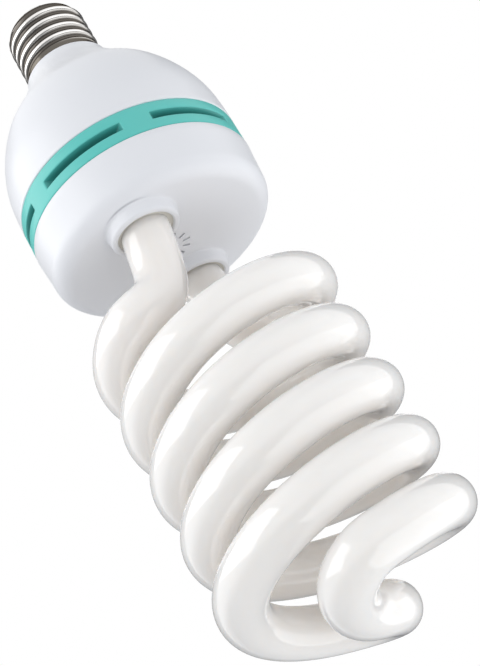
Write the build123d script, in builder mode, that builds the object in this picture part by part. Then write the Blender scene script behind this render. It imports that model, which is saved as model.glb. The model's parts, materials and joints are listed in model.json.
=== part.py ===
from build123d import *
from math import cos, radians, sin, tan
import os

# Compact fluorescent bulb: a double helix tube, a vented ballast housing and an Edison screw cap.
# Millimetres. The origin is the centre of the cap's contact face, and +Z runs from the cap to the coil.

# Cap, a 27 mm Edison screw
CONTACT_R = 4.8
CONTACT_T = 1.0
CONTACT_BEVEL = 0.5
INSULATOR_TIP_R = 6.4
INSULATOR_CONE = 4.8
INSULATOR_FLANGE = 2.6
SHELL_T = 0.35
SHELL_FOOT_ROLL = 0.9
SHELL_LENGTH = 20.7
SHELL_SKIRT = 2.4
SHELL_SKIRT_STEP = 0.5
THREAD_CREST_R = 13.1
THREAD_DEPTH = 1.05

# Upper housing, a bell from the cap's skirt to the vent ring. Each point of its profile is a step and a
# height above the neck: the flare steps out from the neck's radius, the others step in from the mouth's
NECK_STEP = 0.95
BELL_FLARE = (5.45, 9.5)
BELL_HAUNCH = (7.1, 20.5)
BELL_SHOULDER = (1.1, 34.5)
BELL_R = 36.0
BELL_HEIGHT = 48.5
WALL = 1.8
SPIGOT_LENGTH = 12.5
SPIGOT_WALL = 1.6
FIT = 0.3
SEAM_ROUND = 0.45

# Vent ring
RING_HEIGHT = 9.7
RING_STEP = 0.1
RING_WALL = 2.8
SLOT_COUNT = 6
SLOT_SPAN = 46.0
SLOT_HEIGHT = 2.6
SLOT_SLANT = 20.0
SLOT_MIDDLE_ANGLE = 43.0
SLOT_RAMP = 2.0
SLOT_FLARE = 0.25
SKIRT_WALL = 1.5
BELL_SKIRT = 3.5
CUP_SKIRT = 1.75
SNAP_BEAD = 0.45
SNAP_CLEARANCE = 0.15

# Lower housing, a cup that holds the tube's legs
CUP_DRAFT = 0.9
CUP_HEIGHT = 16.3
CUP_ROUND = 5.5
COLLAR_INSET = 16.0
COLLAR_ANGLE = 278.4
COLLAR_WALL = 2.3
COLLAR_HEIGHT = 3.8
COLLAR_TAPER = 6.0
COLLAR_LIP = 0.9
SLEEVE_WALL = 1.6
SLEEVE_DEPTH = 5.0
SLIT_COUNT = 12
SLIT_ANGLE = 28.0
SLIT_INNER_R = 4.6
SLIT_OUTER_R = 7.2
SLIT_WIDTH = 0.9
RIB_COUNT = 6
RIB_WIDTH = 1.8
RIB_DEPTH = 3.0
RIB_ROOT = 0.15

# Discharge tube: two helices of one lead, half a turn apart, that meet over the axis
TUBE_R = 7.4
LEG_ROOM = 1.2
LEG_LEAN = 8.0
LEG_OUT = 10.7
LEG_IN = 11.0
LEG_END_ROUND = 2.0
LEG_BEND = 20.0
COIL_R = 30.3
STRAND_GAP = 3.85
COIL_SWEEP = 821.5
COIL_START_ANGLE = 330.0
COIL_START = 30.7
COIL_ENTRY = 22.0
BRIDGE_RISE = 7.4
BRIDGE_HEADING = 307.3
BRIDGE_EXIT = 14.0
BRIDGE_REACH = 15.0
CEMENT_RECESS = 0.8

# Circuit board and its wires
BOARD_T = 1.6
BOARD_NOTCH = 2.0
LEAD_R = 0.8
LEAD_BEND_R = 10.0
FILAMENT_R = 0.4
FILAMENT_SPREAD = 2.5
LIVE_AT = (-6.3, 1.0)
LIVE_DROP = 34.0
NEUTRAL_AT = (0.0, 3.2)
NEUTRAL_DROP = 30.0
NEUTRAL_NECK_Y = 8.0

# Parts on the board. Each EDGE is the distance of the part's middle from the board's edge
CAN_R = 8.0
CAN_HEIGHT = 33.0
CAN_GROOVE = 0.8
CAN_GROOVE_HEIGHT = 4.0
CAN_ROUND = 1.0
CAN_EDGE = 15.4
CAN_ANGLE = 130.0
CORE_LENGTH = 22.0
CORE_WIDTH = 7.5
CORE_HEIGHT = 20.0
CORE_LIMB = 3.6
BOBBIN_WIDTH = 17.0
BOBBIN_WALL = 1.0
CHOKE_FIT = 0.2
CHOKE_END_EDGE = 15.95
CHOKE_Y = -9.25
TOROID_R = 5.0
TOROID_HOLE_R = 2.3
TOROID_HEIGHT = 5.0
TOROID_WIRE = 0.7
TOROID_WINDING_SPAN = 2.4
TOROID_WINDINGS = 3
TOROID_GAP = 2.5
TOROID_Y = -8.0
TRANSISTOR_WIDTH = 10.0
TRANSISTOR_BODY_T = 3.2
TRANSISTOR_BODY_HEIGHT = 9.5
TRANSISTOR_TAB_T = 1.3
TRANSISTOR_TAB_HEIGHT = 15.5
TRANSISTOR_TAB_HOLE_R = 1.8
TRANSISTOR_LEG_LENGTH = 4.0
TRANSISTOR_LEG = (0.8, 0.5)
TRANSISTOR_LEG_PITCH = 2.54
TRANSISTOR_EDGE = 11.4
TRANSISTOR_ANGLE = 21.8
TRANSISTOR_PITCH = 12.0
FILM_SIZE = (18.0, 7.0, 13.0)
FILM_ROUND = 1.2
FILM_EDGE = 11.7
FILM_ANGLE = 55.6
COUPLER_SIZE = (13.0, 4.5, 10.0)
COUPLER_EDGE = 7.5
COUPLER_ANGLE = 78.7
DRUM_R = 4.5
DRUM_HEIGHT = 11.0
DRUM_NECK_R = 2.2
DRUM_FLANGE = 1.5
DRUM_EDGE = 9.7
DRUM_ANGLE = 240.0
WIRE_R = 0.35
WIRE_REACH = 1.6
DIODE_R = 1.35
DIODE_LENGTH = 5.2
DIODE_EDGE = 5.45
DIODE_ANGLES = [-24.0, -12.0, 0.0, 12.0]
RESISTOR_R = 1.2
RESISTOR_LENGTH = 6.0
RESISTOR_EDGE = 4.95
RESISTOR_ANGLES = [108.0, 129.0, 150.0, 171.0]
FUSE_R = 2.0
FUSE_LENGTH = 10.0
FUSE_EDGE = 7.4
FUSE_ANGLE = 279.0
THERMISTOR_R = 4.0
THERMISTOR_T = 3.0
THERMISTOR_EDGE = 13.0
THERMISTOR_ANGLE = 179.0

# Heights and radii worked out from the sizes above
FOOT_Z = CONTACT_T + INSULATOR_CONE
NECK_Z = FOOT_Z + SHELL_LENGTH
RING_Z = NECK_Z + BELL_HEIGHT
CUP_Z = RING_Z + RING_HEIGHT
FACE_Z = CUP_Z + CUP_HEIGHT
PLATE_Z = FACE_Z - WALL
MOUTH_Z = FACE_Z + COLLAR_HEIGHT
BOARD_Z = CUP_Z + CUP_SKIRT
BOARD_BACK_Z = BOARD_Z + BOARD_T
SHELL_BORE_R = THREAD_CREST_R - THREAD_DEPTH - SHELL_T
SHELL_FOOT_R = SHELL_BORE_R - SHELL_FOOT_ROLL
NECK_R = THREAD_CREST_R + NECK_STEP
SPIGOT_R = SHELL_BORE_R - FIT
SPIGOT_BORE_R = SPIGOT_R - SPIGOT_WALL
RING_R = BELL_R - RING_STEP
BELL_SKIRT_R = BELL_R - WALL - FIT
CUP_R = BELL_R
CUP_SKIRT_R = CUP_R - WALL - FIT
CUP_BORE_R = CUP_R - CUP_DRAFT - WALL
BOARD_R = CUP_BORE_R - FIT
COLLAR_OFFSET = CUP_R - COLLAR_INSET
COLLAR_BORE_R = TUBE_R + LEG_ROOM
COLLAR_R = COLLAR_BORE_R + COLLAR_WALL
SLEEVE_R = COLLAR_BORE_R + SLEEVE_WALL
COIL_LEAD = 2 * (2 * TUBE_R + STRAND_GAP)
COIL_START_Z = FACE_Z + COIL_START
COIL_HEIGHT = COIL_LEAD * COIL_SWEEP / 360
BRIDGE_Z = COIL_START_Z + COIL_HEIGHT + BRIDGE_RISE


def polar(radius, angle, height=0.0):
    """A point at a radius and an angle in degrees about the lamp's axis."""
    return Vector(radius * cos(radians(angle)), radius * sin(radians(angle)), height)


def on_board(edge, angle):
    """The x and y of a place on the board, by its distance from the board's edge."""
    middle = polar(BOARD_R - edge, angle)
    return middle.X, middle.Y


def leaded_part(radius, length):
    """A small round part that lies along X, with a wire at each end bent down to the board at Z = 0."""
    span = length / 2 + WIRE_REACH
    with BuildPart() as leaded:
        with BuildSketch(Plane.YZ.offset(-length / 2)):
            with Locations((0, -radius)):
                Circle(radius)
        extrude(amount=length)
        fillet(leaded.edges().filter_by(GeomType.CIRCLE), radius / 3)
        with BuildSketch(Plane.YZ.offset(-span)):
            with Locations((0, -radius)):
                Circle(WIRE_R)
        extrude(amount=2 * span)
        with BuildSketch(Plane.XY.offset(-radius)):
            with Locations((-span, 0), (span, 0)):
                Circle(WIRE_R)
        extrude(amount=radius)
    return leaded.part


os.makedirs("parts", exist_ok=True)

# Centre contact: a soldered disc with a bevelled edge
with BuildPart() as centre_contact:
    with BuildSketch(Plane.XY):
        Circle(CONTACT_R)
    extrude(amount=CONTACT_T)
    chamfer(centre_contact.edges().group_by(Axis.Z)[0], CONTACT_BEVEL)
centre_contact.part.label = "centre_contact"
export_step(centre_contact.part, "parts/centre_contact.step")

# Cap insulator: a glass cone, bored for the live wire, with a flange inside the shell's foot
with BuildPart() as cap_insulator:
    with BuildSketch(Plane.XZ):
        with BuildLine():
            Polyline(
                (LEAD_R + FIT, CONTACT_T),
                (INSULATOR_TIP_R, CONTACT_T),
                (SHELL_FOOT_R, FOOT_Z),
                (SHELL_FOOT_R, FOOT_Z + SHELL_T),
                (SHELL_BORE_R, FOOT_Z + SHELL_T + SHELL_FOOT_ROLL),
                (SHELL_BORE_R, FOOT_Z + INSULATOR_FLANGE),
                (LEAD_R + FIT, FOOT_Z + INSULATOR_FLANGE),
                close=True,
            )
        make_face()
    revolve(axis=Axis.Z)
cap_insulator.part.label = "cap_insulator"
export_step(cap_insulator.part, "parts/cap_insulator.step")

# Screw shell: thin plated metal with a rolled foot and a wider skirt, at the root radius of its thread
ROOT_R = THREAD_CREST_R - THREAD_DEPTH
ROLL_R = SHELL_FOOT_ROLL + SHELL_T
SKIRT_Z = NECK_Z - SHELL_SKIRT
with BuildPart() as screw_shell:
    with BuildSketch(Plane.XZ):
        with BuildLine():
            JernArc((SHELL_FOOT_R, FOOT_Z), (1, 0), ROLL_R, 90)
            Polyline(
                (ROOT_R, FOOT_Z + ROLL_R),
                (ROOT_R, SKIRT_Z - SHELL_SKIRT_STEP),
                (ROOT_R + SHELL_SKIRT_STEP, SKIRT_Z),
                (ROOT_R + SHELL_SKIRT_STEP, NECK_Z),
            )
            offset(amount=SHELL_T, side=Side.LEFT)
        make_face()
    revolve(axis=Axis.Z)
screw_shell.part.label = "screw_shell"
export_step(screw_shell.part, "parts/screw_shell.step")

# Upper housing: a thin bell that flares from the neck, with a spigot inside the screw shell
with BuildPart() as upper_housing:
    with BuildSketch(Plane.XZ):
        with BuildLine():
            outer = Spline(
                (NECK_R, NECK_Z),
                (NECK_R + BELL_FLARE[0], NECK_Z + BELL_FLARE[1]),
                (BELL_R - BELL_HAUNCH[0], NECK_Z + BELL_HAUNCH[1]),
                (BELL_R - BELL_SHOULDER[0], NECK_Z + BELL_SHOULDER[1]),
                (BELL_R, RING_Z),
                tangents=[(0.25, 1), (0.03, 1)],
            )
            inside = [
                outer @ t + Vector(-(outer % t).Y, (outer % t).X) * WALL
                for t in (0.8, 0.6, 0.4, 0.2, 0.06)
            ]
            inner = Spline((BELL_R - WALL, RING_Z), *inside)
            Line(outer @ 1, inner @ 0)
            Polyline(
                inner @ 1,
                (SPIGOT_BORE_R, (inner @ 1).Y - SPIGOT_WALL),
                (SPIGOT_BORE_R, NECK_Z - SPIGOT_LENGTH),
                (SPIGOT_R, NECK_Z - SPIGOT_LENGTH),
                (SPIGOT_R, NECK_Z),
                outer @ 0,
            )
        make_face()
    revolve(axis=Axis.Z)
    with BuildSketch(Plane.XZ):
        with Locations((BELL_SKIRT_R, RING_Z - BELL_SKIRT / 2)):
            Circle(SNAP_BEAD + SNAP_CLEARANCE)
    revolve(axis=Axis.Z, mode=Mode.SUBTRACT)
    seam = upper_housing.edges().filter_by(GeomType.CIRCLE)
    fillet(seam.filter_by(lambda edge: edge.radius > BELL_R - FIT), SEAM_ROUND)
upper_housing.part.label = "upper_housing"
export_step(upper_housing.part, "parts/upper_housing.step")

# Vent ring: a coloured band with slanted slots, a skirt that snaps into the bell and one that clamps the board
with BuildPart() as vent_ring:
    with BuildSketch(Plane.XZ.rotated((0, 0, SLOT_MIDDLE_ANGLE - 180 / SLOT_COUNT))):
        with BuildLine():
            Polyline(
                (RING_R, RING_Z),
                (RING_R, CUP_Z),
                (CUP_SKIRT_R, CUP_Z),
                (CUP_SKIRT_R, BOARD_Z),
                (CUP_SKIRT_R - SKIRT_WALL, BOARD_Z),
                (CUP_SKIRT_R - SKIRT_WALL, CUP_Z - SKIRT_WALL),
                (RING_R - RING_WALL, CUP_Z - SKIRT_WALL),
                (RING_R - RING_WALL, RING_Z + SKIRT_WALL),
                (BELL_SKIRT_R - SKIRT_WALL, RING_Z + SKIRT_WALL),
                (BELL_SKIRT_R - SKIRT_WALL, RING_Z - BELL_SKIRT),
                (BELL_SKIRT_R, RING_Z - BELL_SKIRT),
                (BELL_SKIRT_R, RING_Z),
                close=True,
            )
        make_face()
        with Locations((BELL_SKIRT_R, RING_Z - BELL_SKIRT / 2)):
            Circle(SNAP_BEAD)
    revolve(axis=Axis.Z)
    slot_corner = polar(RING_R, SLOT_SPAN / 2)
    slot_throat = polar(RING_R - RING_WALL, SLOT_SPAN / 2) - Vector(0, SLOT_RAMP)
    slot_reach = (slot_corner - slot_throat) * 1.3
    slot_out, slot_in = slot_corner + slot_reach, slot_throat - slot_reach
    with BuildPart(mode=Mode.PRIVATE) as slots:
        with BuildSketch(Plane.XZ.rotated((0, 0, SLOT_MIDDLE_ANGLE - 180 / SLOT_COUNT))):
            with Locations((RING_R, (RING_Z + CUP_Z) / 2)):
                Rectangle(4 * RING_WALL, SLOT_HEIGHT, rotation=-SLOT_SLANT)
        revolve(axis=Axis.Z)
        with BuildSketch(Plane.XY.offset(RING_Z)):
            with PolarLocations(0, SLOT_COUNT, start_angle=SLOT_MIDDLE_ANGLE):
                Polygon(
                    (slot_out.X, slot_out.Y),
                    (slot_in.X, slot_in.Y),
                    (slot_in.X, -slot_in.Y),
                    (slot_out.X, -slot_out.Y),
                    align=None,
                )
        extrude(amount=RING_HEIGHT, mode=Mode.INTERSECT)
    add(slots.part, mode=Mode.SUBTRACT)
    band = vent_ring.faces().filter_by(GeomType.CYLINDER).sort_by(SortBy.RADIUS)[-1]
    chamfer([edge for wire in band.inner_wires() for edge in wire.edges()], SLOT_FLARE)
    band = vent_ring.faces().filter_by(GeomType.CYLINDER).sort_by(SortBy.RADIUS)[-1]
    fillet(band.outer_wire().edges().filter_by(GeomType.CIRCLE), SEAM_ROUND)
vent_ring.part.label = "vent_ring"
export_step(vent_ring.part, "parts/vent_ring.step")

# Lower housing: a shelled cup with two collars for the tube's legs, a burst of slits and ribs for the board
with BuildPart() as lower_housing:
    with BuildSketch(Plane.XZ):
        with BuildLine():
            Polyline((0, CUP_Z), (CUP_R, CUP_Z), (CUP_R - CUP_DRAFT, FACE_Z), (0, FACE_Z), close=True)
        make_face()
    revolve(axis=Axis.Z)
    fillet(lower_housing.edges().group_by(Axis.Z)[-1], CUP_ROUND)
    offset(amount=-WALL, openings=lower_housing.faces().sort_by(Axis.Z)[0])
    fillet(lower_housing.edges().group_by(Axis.Z)[0].sort_by(SortBy.RADIUS)[-1], SEAM_ROUND)
    with BuildSketch(Plane.XY.offset(PLATE_Z)):
        with PolarLocations(COLLAR_OFFSET, 2, start_angle=COLLAR_ANGLE):
            Circle(COLLAR_R + WALL * tan(radians(COLLAR_TAPER)))
    extrude(amount=WALL + COLLAR_HEIGHT, taper=COLLAR_TAPER)
    fillet(lower_housing.edges().group_by(Axis.Z)[-1], COLLAR_LIP)
    with BuildSketch(Plane.XY.offset(PLATE_Z)):
        with PolarLocations(COLLAR_OFFSET, 2, start_angle=COLLAR_ANGLE):
            Circle(SLEEVE_R)
    extrude(amount=-SLEEVE_DEPTH)
    with BuildSketch(Plane.XY.offset(PLATE_Z)):
        with PolarLocations(CUP_BORE_R + RIB_ROOT - RIB_DEPTH / 2, RIB_COUNT):
            Rectangle(RIB_DEPTH, RIB_WIDTH)
    extrude(amount=BOARD_BACK_Z - PLATE_Z)
    with BuildSketch(Plane.XY.offset(MOUTH_Z)):
        with PolarLocations(COLLAR_OFFSET, 2, start_angle=COLLAR_ANGLE):
            Circle(COLLAR_BORE_R)
    extrude(amount=PLATE_Z - SLEEVE_DEPTH - MOUTH_Z, mode=Mode.SUBTRACT)
    with BuildSketch(Plane.XY.offset(FACE_Z)):
        with PolarLocations((SLIT_INNER_R + SLIT_OUTER_R) / 2, SLIT_COUNT, start_angle=SLIT_ANGLE):
            SlotOverall(SLIT_OUTER_R - SLIT_INNER_R, SLIT_WIDTH)
    extrude(amount=-WALL, mode=Mode.SUBTRACT)
lower_housing.part.label = "lower_housing"
export_step(lower_housing.part, "parts/lower_housing.step")

# One half of the discharge tube, turned so that its helix starts on +X: leg, bend, helix, half of the bridge
leg_angle = COLLAR_ANGLE - COIL_START_ANGLE
leg_axis = (Vector(0, 0, 1) + polar(1, leg_angle + 90) * tan(radians(LEG_LEAN))).normalized()
leg_middle = polar(COLLAR_OFFSET, leg_angle, (FACE_Z + MOUTH_Z) / 2)
leg_end = leg_middle - leg_axis * LEG_IN
leg_bend = leg_middle + leg_axis * LEG_OUT
bridge_middle = Vector(0, 0, BRIDGE_Z)
bridge_axis = polar(1, BRIDGE_HEADING - COIL_START_ANGLE)
with BuildPart() as tube_half:
    with BuildLine() as leg_path:
        coil = Helix(COIL_LEAD, COIL_HEIGHT, COIL_R, center=(0, 0, COIL_START_Z), mode=Mode.PRIVATE)
        Line(leg_end, leg_bend)
        Bezier(leg_bend, leg_bend + leg_axis * LEG_BEND, coil @ 0 - (coil % 0) * COIL_ENTRY, coil @ 0)
    with BuildSketch(Plane(leg_end, z_dir=leg_axis)) as leg_section:
        Circle(TUBE_R)
    sweep(sections=leg_section.sketch, path=leg_path.wires()[0])
    with BuildSketch(Plane(coil @ 0, z_dir=coil % 0)) as coil_section:
        Circle(TUBE_R)
    with BuildLine() as coil_path:
        add(coil)
        Bezier(
            coil @ 1,
            coil @ 1 + (coil % 1) * BRIDGE_EXIT,
            bridge_middle - bridge_axis * BRIDGE_REACH,
            bridge_middle,
        )
    sweep(sections=coil_section.sketch, path=coil_path.wires()[0], is_frenet=True)

# Discharge tube: both halves, which meet over the axis
with BuildPart() as discharge_tube:
    add(tube_half.part, rotation=(0, 0, COIL_START_ANGLE))
    add(tube_half.part, rotation=(0, 0, COIL_START_ANGLE + 180))
    fillet(discharge_tube.edges().group_by(Axis.Z)[0], LEG_END_ROUND)
discharge_tube.part.label = "discharge_tube"
export_step(discharge_tube.part, "parts/discharge_tube.step")

# Tube cement: a ring in each collar, between its bore and the glass
with BuildPart() as tube_cement:
    with BuildSketch(Plane.XY.offset(MOUTH_Z - CEMENT_RECESS)):
        with PolarLocations(COLLAR_OFFSET, 2, start_angle=COLLAR_ANGLE):
            Circle(COLLAR_BORE_R)
    extrude(amount=PLATE_Z - SLEEVE_DEPTH - MOUTH_Z + CEMENT_RECESS)
    add(discharge_tube.part, mode=Mode.SUBTRACT)
tube_cement.part.label = "tube_cement"
export_step(tube_cement.part, "parts/tube_cement.step")

# Circuit board: a disc that the vent ring clamps on the cup's ribs, notched at both sides
with BuildPart() as circuit_board:
    with BuildSketch(Plane.XY.offset(BOARD_Z)):
        Circle(BOARD_R)
        with PolarLocations(BOARD_R, 2, start_angle=180 / RIB_COUNT):
            Circle(BOARD_NOTCH, mode=Mode.SUBTRACT)
    extrude(amount=BOARD_T)
circuit_board.part.label = "circuit_board"
export_step(circuit_board.part, "parts/circuit_board.step")

# Filament leads: two wires from each end of the tube to the board
leg_foot = leg_end.rotate(Axis.Z, COIL_START_ANGLE)
with BuildPart() as filament_leads:
    with BuildSketch(Plane.XY.offset(BOARD_BACK_Z)):
        with Locations((leg_foot.X, leg_foot.Y), (-leg_foot.X, -leg_foot.Y)):
            with PolarLocations(FILAMENT_SPREAD, 2, start_angle=COLLAR_ANGLE):
                Circle(FILAMENT_R)
    extrude(amount=leg_foot.Z - BOARD_BACK_Z + FILAMENT_R)
    add(discharge_tube.part, mode=Mode.SUBTRACT)
filament_leads.part.label = "filament_leads"
export_step(filament_leads.part, "parts/filament_leads.step")

# Electrolytic capacitor: a can with a crimped groove near the board
with BuildPart() as electrolytic_capacitor:
    with BuildSketch(Plane.XY.offset(BOARD_Z)):
        with Locations(on_board(CAN_EDGE, CAN_ANGLE)):
            Circle(CAN_R)
    extrude(amount=-CAN_HEIGHT)
    fillet(electrolytic_capacitor.edges().group_by(Axis.Z)[0], CAN_ROUND)
    with BuildSketch(Plane.XY.offset(BOARD_Z - CAN_GROOVE_HEIGHT)):
        with Locations(on_board(CAN_EDGE, CAN_ANGLE)):
            Circle(CAN_R)
            Circle(CAN_R - CAN_GROOVE, mode=Mode.SUBTRACT)
    extrude(amount=-CAN_GROOVE, mode=Mode.SUBTRACT)
electrolytic_capacitor.part.label = "electrolytic_capacitor"
export_step(electrolytic_capacitor.part, "parts/electrolytic_capacitor.step")

# Choke core: two E halves that stand on the board, seen as one with two windows
WINDOW_WIDTH = CORE_LENGTH / 2 - 2 * CORE_LIMB
WINDOW_HEIGHT = CORE_HEIGHT - 2 * CORE_LIMB
CHOKE_MIDDLE_Z = BOARD_Z - CORE_HEIGHT / 2
CHOKE_AT = (BOARD_R - CHOKE_END_EDGE - CORE_LENGTH / 2, CHOKE_Y)
choke_plane = Plane(origin=(*CHOKE_AT, CHOKE_MIDDLE_Z), x_dir=(1, 0, 0), z_dir=(0, -1, 0))
with BuildPart() as choke_core:
    with BuildSketch(choke_plane):
        Rectangle(CORE_LENGTH, CORE_HEIGHT)
        window_offset = CORE_LIMB + WINDOW_WIDTH / 2
        with Locations((-window_offset, 0), (window_offset, 0)):
            Rectangle(WINDOW_WIDTH, WINDOW_HEIGHT, mode=Mode.SUBTRACT)
    extrude(amount=CORE_WIDTH / 2, both=True)
choke_core.part.label = "choke_core"
export_step(choke_core.part, "parts/choke_core.step")

# Choke bobbin: a square sleeve on the middle limb with a flange at each end
BORE_X = 2 * (CORE_LIMB + CHOKE_FIT)
BORE_Y = CORE_WIDTH + 2 * CHOKE_FIT
FLANGE_X = 2 * (CORE_LIMB + WINDOW_WIDTH - CHOKE_FIT)
with BuildPart() as choke_bobbin:
    for z, height in (
        (CHOKE_MIDDLE_Z - WINDOW_HEIGHT / 2, BOBBIN_WALL),
        (CHOKE_MIDDLE_Z + WINDOW_HEIGHT / 2, -BOBBIN_WALL),
    ):
        with BuildSketch(Plane.XY.offset(z)):
            with Locations(CHOKE_AT):
                Rectangle(FLANGE_X, BOBBIN_WIDTH)
        extrude(amount=height)
    with BuildSketch(Plane.XY.offset(CHOKE_MIDDLE_Z)):
        with Locations(CHOKE_AT):
            Rectangle(BORE_X + 2 * BOBBIN_WALL, BORE_Y + 2 * BOBBIN_WALL)
    extrude(amount=WINDOW_HEIGHT / 2, both=True)
    with BuildSketch(Plane.XY.offset(CHOKE_MIDDLE_Z)):
        with Locations(CHOKE_AT):
            Rectangle(BORE_X, BORE_Y)
    extrude(amount=WINDOW_HEIGHT / 2, both=True, mode=Mode.SUBTRACT)
choke_bobbin.part.label = "choke_bobbin"
export_step(choke_bobbin.part, "parts/choke_bobbin.step")

# Choke winding: the copper between the bobbin's flanges
WINDING_DEPTH = (FLANGE_X - BORE_X) / 2 - BOBBIN_WALL - CHOKE_FIT
with BuildPart() as choke_winding:
    with BuildSketch(Plane.XY.offset(CHOKE_MIDDLE_Z)):
        with Locations(CHOKE_AT):
            inner_x = BORE_X + 2 * BOBBIN_WALL
            inner_y = BORE_Y + 2 * BOBBIN_WALL
            RectangleRounded(inner_x + 2 * WINDING_DEPTH, inner_y + 2 * WINDING_DEPTH, WINDING_DEPTH * 0.9)
            Rectangle(inner_x, inner_y, mode=Mode.SUBTRACT)
    extrude(amount=WINDOW_HEIGHT / 2 - BOBBIN_WALL, both=True)
choke_winding.part.label = "choke_winding"
export_step(choke_winding.part, "parts/choke_winding.step")

# Drive transformer: a toroid that lies in its windings, which rest on the board
TOROID_Z = BOARD_Z - TOROID_WIRE
TOROID_AT = (CHOKE_AT[0] - CORE_LENGTH / 2 - TOROID_GAP - TOROID_WIRE - TOROID_R, TOROID_Y)
with BuildPart() as toroid_core:
    with BuildSketch(Plane.XY.offset(TOROID_Z)):
        with Locations(TOROID_AT):
            Circle(TOROID_R)
            Circle(TOROID_HOLE_R, mode=Mode.SUBTRACT)
    extrude(amount=-TOROID_HEIGHT)
toroid_core.part.label = "toroid_core"
export_step(toroid_core.part, "parts/toroid_core.step")

with BuildPart() as toroid_windings:
    with BuildSketch(Plane.XY.offset(BOARD_Z)):
        with Locations(TOROID_AT):
            with PolarLocations((TOROID_R + TOROID_HOLE_R) / 2, TOROID_WINDINGS):
                Rectangle(TOROID_R - TOROID_HOLE_R + 2 * TOROID_WIRE, TOROID_WINDING_SPAN)
    extrude(amount=-TOROID_HEIGHT - 2 * TOROID_WIRE)
    add(toroid_core.part, mode=Mode.SUBTRACT)
toroid_windings.part.label = "toroid_windings"
export_step(toroid_windings.part, "parts/toroid_windings.step")

# Power transistors: each a moulded body on a drilled tab, standing on three legs
TRANSISTOR_X, TRANSISTOR_Y = on_board(TRANSISTOR_EDGE, TRANSISTOR_ANGLE)
TRANSISTORS_AT = [(TRANSISTOR_X - TRANSISTOR_PITCH, TRANSISTOR_Y), (TRANSISTOR_X, TRANSISTOR_Y)]
with BuildPart() as power_transistors:
    with BuildSketch(Plane.XY.offset(BOARD_Z)):
        with Locations(TRANSISTORS_AT):
            with GridLocations(TRANSISTOR_LEG_PITCH, 1, 3, 1):
                Rectangle(*TRANSISTOR_LEG)
    extrude(amount=-TRANSISTOR_LEG_LENGTH)
    with BuildSketch(Plane.XY.offset(BOARD_Z - TRANSISTOR_LEG_LENGTH)):
        with Locations(TRANSISTORS_AT):
            Rectangle(TRANSISTOR_WIDTH, TRANSISTOR_BODY_T)
    extrude(amount=-TRANSISTOR_BODY_HEIGHT)
    tab_offset = (TRANSISTOR_BODY_T + TRANSISTOR_TAB_T) / 2
    with BuildSketch(Plane.XY.offset(BOARD_Z - TRANSISTOR_LEG_LENGTH)):
        with Locations([(x, y - tab_offset) for x, y in TRANSISTORS_AT]):
            Rectangle(TRANSISTOR_WIDTH, TRANSISTOR_TAB_T)
    extrude(amount=-TRANSISTOR_TAB_HEIGHT)
    hole_z = BOARD_Z - TRANSISTOR_LEG_LENGTH - (TRANSISTOR_BODY_HEIGHT + TRANSISTOR_TAB_HEIGHT) / 2
    with BuildSketch(Plane.XZ.offset(-TRANSISTOR_Y)):
        with Locations([(x, hole_z) for x, _ in TRANSISTORS_AT]):
            Circle(TRANSISTOR_TAB_HOLE_R)
    extrude(amount=2 * tab_offset, mode=Mode.SUBTRACT)
power_transistors.part.label = "power_transistors"
export_step(power_transistors.part, "parts/power_transistors.step")

# Film capacitors: dipped blocks with rounded edges
with BuildPart() as resonant_capacitor:
    with BuildSketch(Plane.XY.offset(BOARD_Z)):
        with Locations(on_board(FILM_EDGE, FILM_ANGLE)):
            RectangleRounded(FILM_SIZE[0], FILM_SIZE[1], FILM_ROUND)
    extrude(amount=-FILM_SIZE[2])
    fillet(resonant_capacitor.edges().group_by(Axis.Z)[0], FILM_ROUND / 2)
resonant_capacitor.part.label = "resonant_capacitor"
export_step(resonant_capacitor.part, "parts/resonant_capacitor.step")

with BuildPart() as coupling_capacitor:
    with BuildSketch(Plane.XY.offset(BOARD_Z)):
        with Locations(on_board(COUPLER_EDGE, COUPLER_ANGLE)):
            RectangleRounded(COUPLER_SIZE[0], COUPLER_SIZE[1], FILM_ROUND)
    extrude(amount=-COUPLER_SIZE[2])
    fillet(coupling_capacitor.edges().group_by(Axis.Z)[0], FILM_ROUND / 2)
coupling_capacitor.part.label = "coupling_capacitor"
export_step(coupling_capacitor.part, "parts/coupling_capacitor.step")

# Filter choke: a ferrite drum and the winding between its flanges
with BuildPart() as filter_choke_core:
    with BuildSketch(Plane.XY.offset(BOARD_Z)):
        with Locations(on_board(DRUM_EDGE, DRUM_ANGLE)):
            Circle(DRUM_R)
    extrude(amount=-DRUM_HEIGHT)
    with BuildSketch(Plane.XY.offset(BOARD_Z - DRUM_FLANGE)):
        with Locations(on_board(DRUM_EDGE, DRUM_ANGLE)):
            Circle(DRUM_R)
            Circle(DRUM_NECK_R, mode=Mode.SUBTRACT)
    extrude(amount=2 * DRUM_FLANGE - DRUM_HEIGHT, mode=Mode.SUBTRACT)
filter_choke_core.part.label = "filter_choke_core"
export_step(filter_choke_core.part, "parts/filter_choke_core.step")

with BuildPart() as filter_choke_winding:
    with BuildSketch(Plane.XY.offset(BOARD_Z - DRUM_FLANGE)):
        with Locations(on_board(DRUM_EDGE, DRUM_ANGLE)):
            Circle(DRUM_R - CHOKE_FIT)
            Circle(DRUM_NECK_R, mode=Mode.SUBTRACT)
    extrude(amount=2 * DRUM_FLANGE - DRUM_HEIGHT)
filter_choke_winding.part.label = "filter_choke_winding"
export_step(filter_choke_winding.part, "parts/filter_choke_winding.step")

# Leaded parts: the rectifier's diodes, the resistors and the fuse resistor
diode = leaded_part(DIODE_R, DIODE_LENGTH)
with BuildPart() as rectifier_diodes:
    for angle in DIODE_ANGLES:
        with Locations(Location(polar(BOARD_R - DIODE_EDGE, angle, BOARD_Z), (0, 0, angle))):
            add(diode)
rectifier_diodes.part.label = "rectifier_diodes"
export_step(rectifier_diodes.part, "parts/rectifier_diodes.step")

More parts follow.
